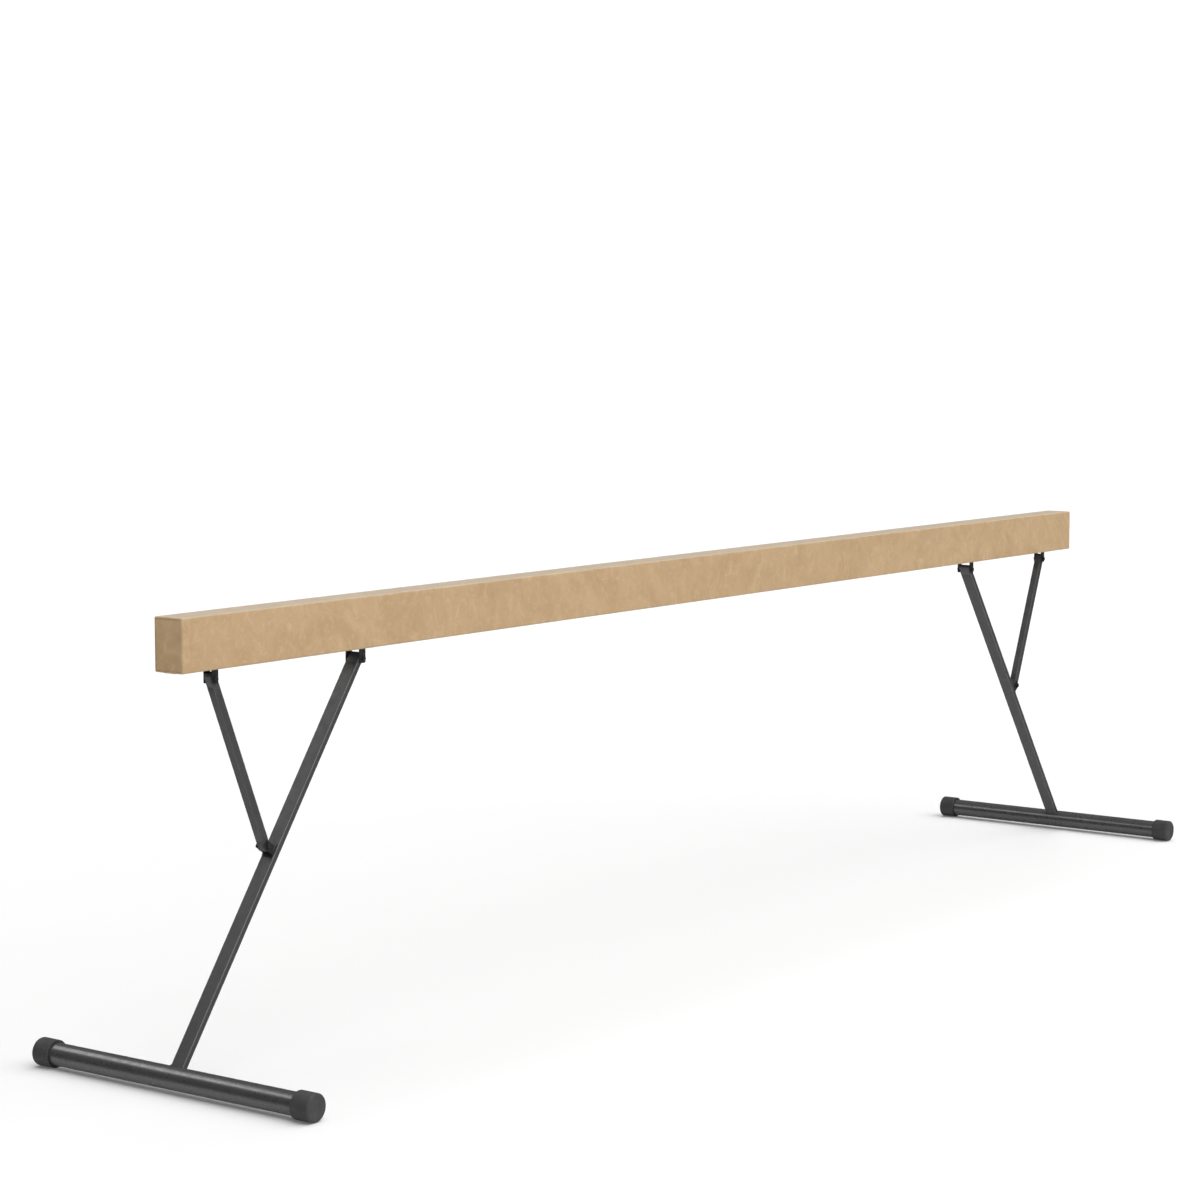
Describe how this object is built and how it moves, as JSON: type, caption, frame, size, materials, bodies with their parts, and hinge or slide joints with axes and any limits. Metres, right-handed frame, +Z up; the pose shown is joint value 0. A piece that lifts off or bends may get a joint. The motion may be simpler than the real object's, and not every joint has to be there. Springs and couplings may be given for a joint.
{
  "type": "balance beam",
  "caption": "Raised gymnastics balance beam: long suede-covered padded bar on mirrored folding legs, each with a diagonal brace and a crosswise floor tube in rubber caps.",
  "frame": {"origin": "centre of the footprint, on the floor", "axes": "+X along the beam, +Y across the beam, +Z up"},
  "size_m": [5.078, 1.006, 1.27],
  "materials": {
    "suede": "brushed synthetic suede, matt with soft cloudy nap",
    "timber": "planed and glued",
    "foam": "closed-cell foam sheet",
    "closing_strip": "woven tape",
    "tube_steel": "satin powder coat, dark grey",
    "bracket_steel": "satin powder coat, near black",
    "floor_tube_steel": "semi-gloss powder coat, dark grey",
    "fastener": "black oxide",
    "bush": "sintered bronze",
    "rubber_cap": "moulded matt rubber"
  },
  "bodies": {
    "beam": {"back_foam": "foam", "core_back_plank": "timber", "core_centre_plank": "timber", "core_front_plank": "timber", "cover_sleeve": "suede", "front_foam": "foam", "left_end_board": "timber", "left_end_cover": "suede", "left_end_foam": "foam", "right_end_board": "timber", "right_end_cover": "suede", "right_end_foam": "foam", "top_foam": "foam", "underside_strip": "closing_strip", "left_leg_bracket": "bracket_steel", "left_brace_bracket": "bracket_steel", "left_bracket_screws": "fastener", "left_leg_pivot_bolt": "fastener", "left_brace_pivot_bolt": "fastener", "left_pivot_nuts": "fastener", "left_pivot_washers": "fastener", "right_leg_bracket": "bracket_steel", "right_brace_bracket": "bracket_steel", "right_bracket_screws": "fastener", "right_leg_pivot_bolt": "fastener", "right_brace_pivot_bolt": "fastener", "right_pivot_nuts": "fastener", "right_pivot_washers": "fastener"},
    "left_leg": {"left_leg_tube": "tube_steel", "left_leg_head": "tube_steel", "left_leg_bush": "bush", "left_leg_clevis": "bracket_steel", "left_clevis_bolt": "fastener", "left_clevis_nut": "fastener", "left_clevis_washers": "fastener", "left_floor_tube": "floor_tube_steel", "left_front_floor_cap": "rubber_cap", "left_back_floor_cap": "rubber_cap"},
    "left_brace": {"left_brace_tube": "tube_steel", "left_brace_head": "tube_steel", "left_brace_bush": "bush", "left_brace_toe": "tube_steel"},
    "right_leg": {"right_leg_tube": "tube_steel", "right_leg_head": "tube_steel", "right_leg_bush": "bush", "right_leg_clevis": "bracket_steel", "right_clevis_bolt": "fastener", "right_clevis_nut": "fastener", "right_clevis_washers": "fastener", "right_floor_tube": "floor_tube_steel", "right_front_floor_cap": "rubber_cap", "right_back_floor_cap": "rubber_cap"},
    "right_brace": {"right_brace_tube": "tube_steel", "right_brace_head": "tube_steel", "right_brace_bush": "bush", "right_brace_toe": "tube_steel"}
  },
  "joints": [
    {"name": "left_leg_fold", "type": "hinge", "parent": "beam", "child": "left_leg", "pos_m": [-1.752, 0, 1.092], "axis": [0, -1, 0], "range_deg": [0, 125]},
    {"name": "left_brace_fold", "type": "hinge", "parent": "beam", "child": "left_brace", "pos_m": [-2.34, 0, 1.092], "axis": [0, -1, 0], "range_deg": [0, 67.4]},
    {"name": "right_leg_fold", "type": "hinge", "parent": "beam", "child": "right_leg", "pos_m": [1.752, 0, 1.092], "axis": [0, 1, 0], "range_deg": [0, 125]},
    {"name": "right_brace_fold", "type": "hinge", "parent": "beam", "child": "right_brace", "pos_m": [2.34, 0, 1.092], "axis": [0, 1, 0], "range_deg": [0, 67.4]}
  ],
  "couplings": [
    {"joint": "left_brace_fold", "follows": "left_leg_fold", "ratio": 0.539},
    {"joint": "right_brace_fold", "follows": "right_leg_fold", "ratio": 0.539}
  ]
}
